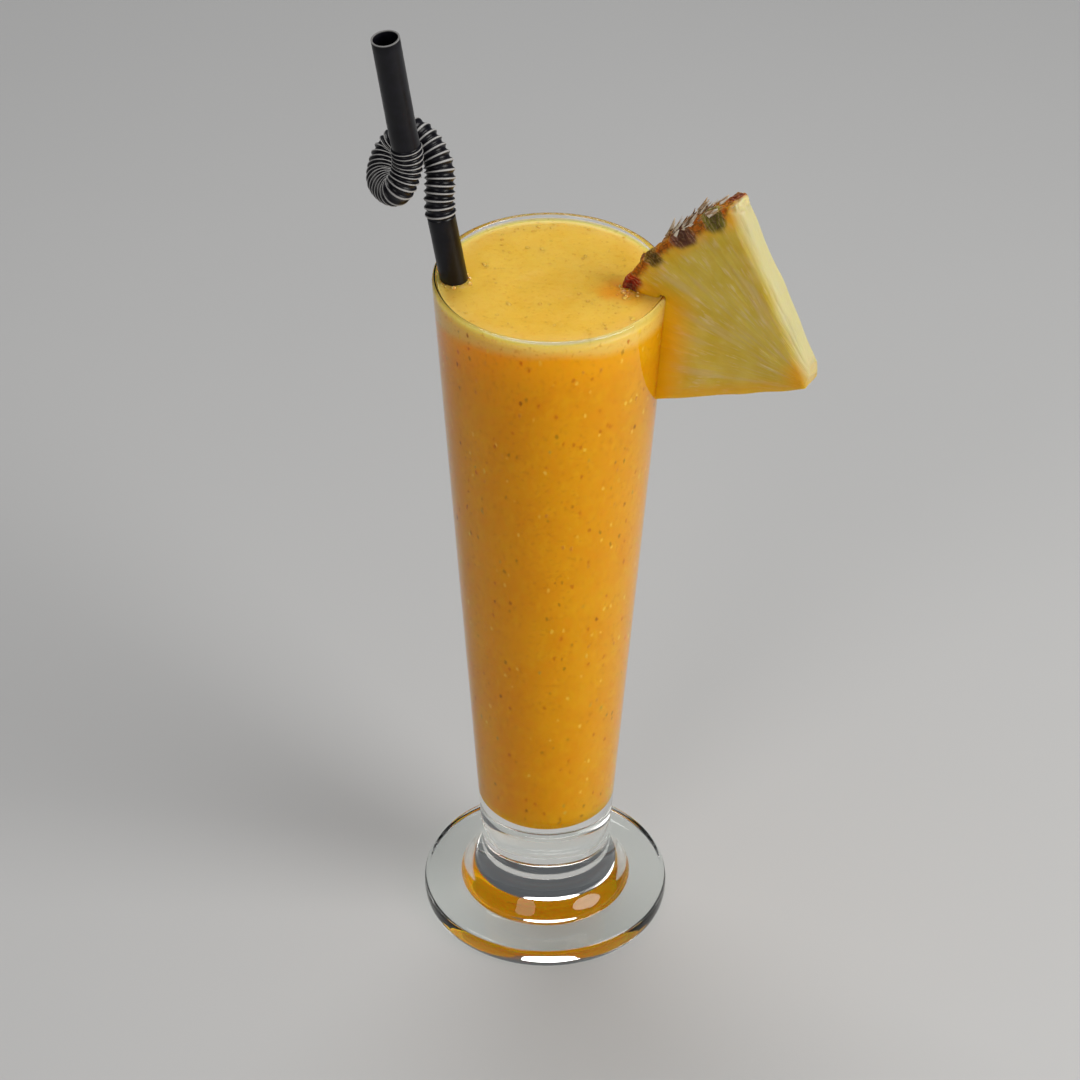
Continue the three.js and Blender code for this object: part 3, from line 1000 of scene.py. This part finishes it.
def marked(mesh, set_up):
    """Stores on the mesh what its colours and scales follow: rind, eyes and the run of the fibres."""
    places = np.array([v.co for v in mesh.vertices])
    points = np.array([set_up.inverted() @ Vector(p) for p in places]) / MM
    degrees, radius = polar(points)
    near, number = eye_marks(points, 0.1)
    edge = rind_radius(degrees)
    thinning = 4.8 * (1 - smoothstep(degrees, 117, 125))
    broad = 1.5 * (1 - smoothstep(degrees, 136, 146)) + 0.5 * lumps(points, 2.4, 7)
    bark = radius + broad + 1.6 * smoothstep(near, 0, 0.5) - thinning
    rind = smoothstep(bark, edge - 3.6, edge - 1.2)
    upper, lower = under_sides(points)
    from_glass = (np.hypot(places[:, 0], places[:, 1]) - outer_radius(places[:, 2])) / MM
    below_rim = 1 - smoothstep(places[:, 2], LIP, LIP + 7 * MM)
    # Gold: the flesh's own deeper colour near the rind, and a painted glow near the glass, at the tip
    # and along the lower side, where light comes through the drink and the flesh.
    gold_and_glow = [
        0.75 * smoothstep(radius, edge - 8, edge - 3) * (1 - 0.7 * smoothstep(degrees, 138, 150)),
        (1 - smoothstep(from_glass, 0.5, 12)) * below_rim,
        0.9 * (1 - smoothstep(radius, 5, 13)),
        0.7 * (1 - smoothstep(lower, 0.3, 6)),
    ]
    dry = 0.4 + 0.6 * smoothstep(near, 0.05, 0.35)
    dry = dry * (radius > edge - 0.9) * (places[:, 2] > GLASS_HEIGHT + 3 * MM)
    tufts = 0.05 * (degrees < 150) + 0.95 * np.exp(-((degrees - 135) / 6) ** 2)
    turn = np.radians(degrees)
    still = np.zeros(len(turn))
    out = np.stack([np.cos(turn), still, np.sin(turn)], 1)
    crownwards = np.stack([np.sin(turn), still, -np.cos(turn)], 1)
    kept = {
        "rind": rind,
        "gold_and_glow": np.max(gold_and_glow, axis=0),
        # Painted sheen along the upper cut side, fading in over a few millimetres.
        "painted_sheen": 1 - smoothstep(upper + 0.6 * lumps(points, 6, 6), 0.2, 3.6),
        "eye": near,
        "eye_number": number,
        "bed": dry * tufts * smoothstep(degrees, 121, 125),
        "fibre": np.stack([30 * turn, radius, points[:, 1]], 1),
        "lean": (0.1 * out + crownwards) @ np.array(set_up.to_3x3()).T,
    }
    for name, values in kept.items():
        store(mesh, name, values)


def pineapple_material():
    """Wet yellow flesh with pale fibres, golden at its edges partly from painted glow, with a painted
    sheen on its upper cut side, and a craggy rind with eyes.
    """
    material, tree, place = new_material("pineapple_flesh_and_rind")
    fibre = read(tree, "fibre", "Vector")
    long = Wire.node(tree, "ShaderNodeMapping", None, {"Vector": fibre, "Scale": (1, 0.14, 0.4)})
    streaks = noise_at(tree, long, 0.9, 3, 0.6)
    strands = noise_at(tree, place, 6 * MM, 2).ramp(0.4, 0.62)
    veins = noise_at(tree, long, 2.8, 2)
    patches = noise_at(tree, place, 8 * MM, 3)
    rind = read(tree, "rind")
    eye = read(tree, "eye")
    bark = noise_at(tree, place, 1.6 * MM, 4, 0.65)
    cracks = Wire.node(tree, "ShaderNodeTexVoronoi", {"feature": "DISTANCE_TO_EDGE"},
                       {"Vector": place, "Scale": 1 / (1.9 * MM)})
    flesh = blended(patches.ramp(0.3, 0.7), FLESH_DEEP, FLESH_LIGHT)
    flesh = blended(veins.ramp(0.48, 0.72) * 0.5, flesh, FLESH_VEIN)
    flesh = blended(streaks.ramp(0.5, 0.7) * (0.1 + 0.6 * strands), flesh, FLESH_STREAK)
    # Gold near the rind, with a painted glow of light at the glass, the tip and the lower side.
    golden_and_glow = read(tree, "gold_and_glow") * (0.75 + 0.5 * patches)
    flesh = blended(golden_and_glow, flesh, FLESH_GOLD_AND_GLOW)
    # Painted sheen: the flesh along the upper cut side is painted pale, standing in for the bright
    # light and wet shine on that face.
    flesh = blended(read(tree, "painted_sheen") * 0.9, flesh, FLESH_PAINTED_SHEEN)
    tones = Wire.node(tree, "ShaderNodeValToRGB", {"stops": [
        (0.083, colour(138, 46, 10)),
        (0.167, colour(140, 132, 48)),
        (0.25, colour(156, 128, 92)),
        (0.333, colour(128, 80, 62)),
        (0.417, colour(140, 98, 56)),
        (0.5, colour(140, 116, 40)),
        (0.583, colour(128, 64, 26)),
        (0.667, colour(176, 42, 22)),
    ]}, {"Fac": (read(tree, "eye_number") + 1) / 6})
    skin = blended(bark.ramp(0.4, 0.65), BARK_ORANGE, BARK_BROWN)
    skin = blended(eye.ramp(0.06, 0.35), skin, tones)
    petals = 0.5 + 0.5 * ((eye + bark * 0.3) * 26).math("SINE")
    skin = blended(petals ** 4 * eye.ramp(0.03, 0.12) * 0.4, skin, EYE_RIDGE)
    skin = blended(eye.ramp(0.55, 0.85) * 0.45, skin, EYE_HEART)
    skin = blended((1 - cracks.ramp(0.02, 0.12)) * 0.4, skin, BARK_CRACK)
    relief = streaks * (1 - rind) + (bark + cracks * 2) * rind
    output(tree, principled(tree, {
        "Base Color": blended(rind, flesh, skin),
        "Roughness": 0.42 + rind * 0.2 - (1 - rind) * streaks * 0.12,
        "Specular IOR Level": 0.3,
        "Subsurface Weight": 0.6,
        "Subsurface Radius": (1.0, 0.65, 0.2),
        "Subsurface Scale": 6 * MM,
        "Normal": bumped(tree, relief, 0.25 * MM),
    }))
    return material


def scales_tree():
    """Dry pointed scales growing from a rind, thick where its bed is high, along its lean."""
    tree, given = tree_of("dry_scales", {
        "Density": "Float", "Length": "Float", "Width": "Float", "Thickness": "Float",
        "Curl": "Float", "Seed": "Int", "Material": "Material",
    })
    seed = given.beside("Seed")
    points = Wire.node(tree, "GeometryNodeDistributePointsOnFaces", None, {
        "Mesh": given, "Density": given.beside("Density") * stored(tree, "bed"), "Seed": seed,
    })
    lean = stored(tree, "lean", "FLOAT_VECTOR")
    upright = Wire.node(tree, "FunctionNodeAlignRotationToVector", {"axis": "Z"}, {"Vector": lean})
    settings = {"axis": "Y", "pivot_axis": "Z"}
    upright = Wire.node(tree, "FunctionNodeAlignRotationToVector", settings, {
        "Rotation": upright, "Vector": points.beside("Normal"),
    })
    sway = Wire.node(tree, "FunctionNodeRandomValue", {"data_type": "FLOAT_VECTOR"}, {
        0: SWAY_LEAST, 1: SWAY_MOST, "Seed": seed + 1,
    })
    sway = Wire.node(tree, "FunctionNodeEulerToRotation", None, {"Euler": sway})
    turn = Wire.node(tree, "FunctionNodeRotateRotation", {"rotation_space": "LOCAL"}, {
        "Rotation": upright, "Rotate By": sway,
    })
    blade = Wire.node(tree, "GeometryNodeMeshCone", None, {
        "Vertices": 6, "Side Segments": 5, "Radius Top": 0.06, "Radius Bottom": 0.5, "Depth": 1.0,
    })
    spot = Wire.node(tree, "GeometryNodeInputPosition")
    high = Wire.node(tree, "ShaderNodeSeparateXYZ", None, {"Vector": spot}, "Z")
    size = Wire.node(tree, "ShaderNodeCombineXYZ", None, {
        "X": given.beside("Width"), "Y": given.beside("Thickness"), "Z": given.beside("Length"),
    })
    shaped = vectors(tree, "MULTIPLY", spot, size)
    curl = Wire.node(tree, "ShaderNodeCombineXYZ", None, {"Y": high * high * given.beside("Curl")})
    blade = Wire.node(tree, "GeometryNodeSetPosition", None, {
        "Geometry": blade, "Position": shaped, "Offset": curl,
    })
    share = drawn_between(tree, seed + 2, 0.4, 1.15)
    scales = Wire.node(tree, "GeometryNodeInstanceOnPoints", None, {
        "Points": points, "Instance": blade, "Rotation": turn, "Scale": share,
    })
    settings = {"domain": "INSTANCE", "data_type": "FLOAT"}
    scales = Wire.node(tree, "GeometryNodeStoreNamedAttribute", settings, {
        "Geometry": scales, "Name": "tone", "Value": drawn_between(tree, seed + 3),
    })
    ends_in(tree, scales, given.beside("Material"))
    return tree


def scale_material():
    """Dry papery scales, from pale straw and grey-pink to brown, streaked along."""
    material, tree, place = new_material("dry_scale")
    tone = read(tree, "tone")
    streaks = noise_at(tree, place, 0.5 * MM, 3)
    tones = Wire.node(tree, "ShaderNodeValToRGB", {"stops": [
        (0.0, colour(168, 118, 74)),
        (0.3, colour(214, 184, 146)),
        (0.6, colour(238, 226, 204)),
        (1.0, colour(248, 244, 234)),
    ]}, {"Fac": tone})
    output(tree, principled(tree, {
        "Base Color": blended(streaks.ramp(0.5, 0.75) * 0.3, tones, SCALE_STREAK),
        "Roughness": 0.6 + 0.2 * streaks,
        "Normal": bumped(tree, streaks, 0.06 * MM),
    }))
    return material


set_up = Matrix.Translation(SLICE_CORE) @ Matrix.Rotation(-SLICE_TURN, 4, "Z")
wedge_mesh = evenly_meshed(slice_grid(SLICE_GRID))
carved(wedge_mesh)
wedge_mesh.transform(set_up @ Matrix.Scale(MM, 4))
wedge_mesh = slit(wedge_mesh)
marked(wedge_mesh, set_up)
wedge_mesh.shade_smooth()
wedge_mesh.set_sharp_from_angle(angle=SHARP_ANGLE)
wedge_mesh.materials.clear()
wedge_mesh.materials.append(pineapple_material())
new_piece("pineapple_wedge_piece", wedge_mesh, "pineapple", "pineapple_wedge")
scale_mesh = grown(wedge_mesh.copy(), "pineapple_scales", scales_tree(), {
    "Density": SCALE_DENSITY,
    "Length": 4.4 * MM,
    "Width": 1.7 * MM,
    "Thickness": 0.28 * MM,
    "Curl": 0.4 * MM,
    "Seed": 4,
    "Material": scale_material(),
})
new_piece("pineapple_scales", scale_mesh, "pineapple")


# The studio: a pale floor, a large soft light from the right, a weaker one from above and behind and a
# weak one from the left, and a camera that looks down on the glass as the photograph does.
FLOOR_SIZE = 8.0
FLOOR_DROP = 0.05 * MM
CAMERA_PLACE = Vector((0, -0.90291, 0.82722))
CAMERA_AHEAD = Vector((-0.00221, 0.7945, -0.60727))
CAMERA_RIGHT = Vector((0.99995, 0.00781, 0.00658))
CAMERA_LENS = 128.785
SENSOR = 36


def floor_material():
    """Matt pale grey, very faintly clouded."""
    material, tree, place = new_material("pale_floor")
    clouds = noise_at(tree, place, 0.3, 4)
    output(tree, principled(tree, {
        "Base Color": blended(clouds, colour(193, 193, 194), colour(199, 199, 200)),
        "Roughness": 0.7,
    }))
    return material


def soft_light(name, place, aim, size, power, tint):
    """A soft lamp of an oval face, turned to what it lights."""
    lamp = bpy.data.lights.new(name, "AREA")
    lamp.shape = "ELLIPSE"
    lamp.size, lamp.size_y = size
    lamp.energy = power
    lamp.color = tint
    light = bpy.data.objects.new(name, lamp)
    light.location = place
    light.rotation_euler = (Vector(place) - Vector(aim)).to_track_quat("Z", "Y").to_euler()
    bpy.context.scene.collection.objects.link(light)


half = FLOOR_SIZE / 2
floor_mesh = bpy.data.meshes.new("floor")
corners = [(-half, -half, 0), (half, -half, 0), (half, half, 0), (-half, half, 0)]
floor_mesh.from_pydata(corners, [], [(0, 1, 2, 3)])
floor = new_piece("floor", floor_mesh)
floor.location.z = -FLOOR_DROP
floor_mesh.materials.append(floor_material())

soft_light("key", (0.88, -0.44, 0.8), (0, 0, 0.15), (0.8, 0.8), 11.3, (1, 0.99, 0.95))
soft_light("above", (-0.1, 0.5, 1.3), (0, 0, 0.15), (0.8, 0.6), 7, (1, 0.99, 0.97))
soft_light("left", (-0.5, -0.95, 0.75), (0, 0, 0.12), (0.5, 0.8), 2.6, (1, 0.97, 0.93))
world = bpy.data.worlds.new("studio")
world.use_nodes = True
sky = world.node_tree.nodes["Background"].inputs
sky["Color"].default_value = (0.9, 0.95, 1, 1)
sky["Strength"].default_value = 0.1
bpy.context.scene.world = world
bpy.context.scene.view_settings.view_transform = "Standard"

lens = bpy.data.cameras.new("photo_view")
lens.sensor_width = SENSOR
lens.lens = CAMERA_LENS
camera = bpy.data.objects.new("photo_view", lens)
across = CAMERA_RIGHT.normalized()
up = across.cross(CAMERA_AHEAD).normalized()
facing = Matrix((across, up, -CAMERA_AHEAD)).transposed().to_4x4()
camera.matrix_world = Matrix.Translation(CAMERA_PLACE) @ facing
bpy.context.scene.collection.objects.link(camera)
bpy.context.scene.camera = camera
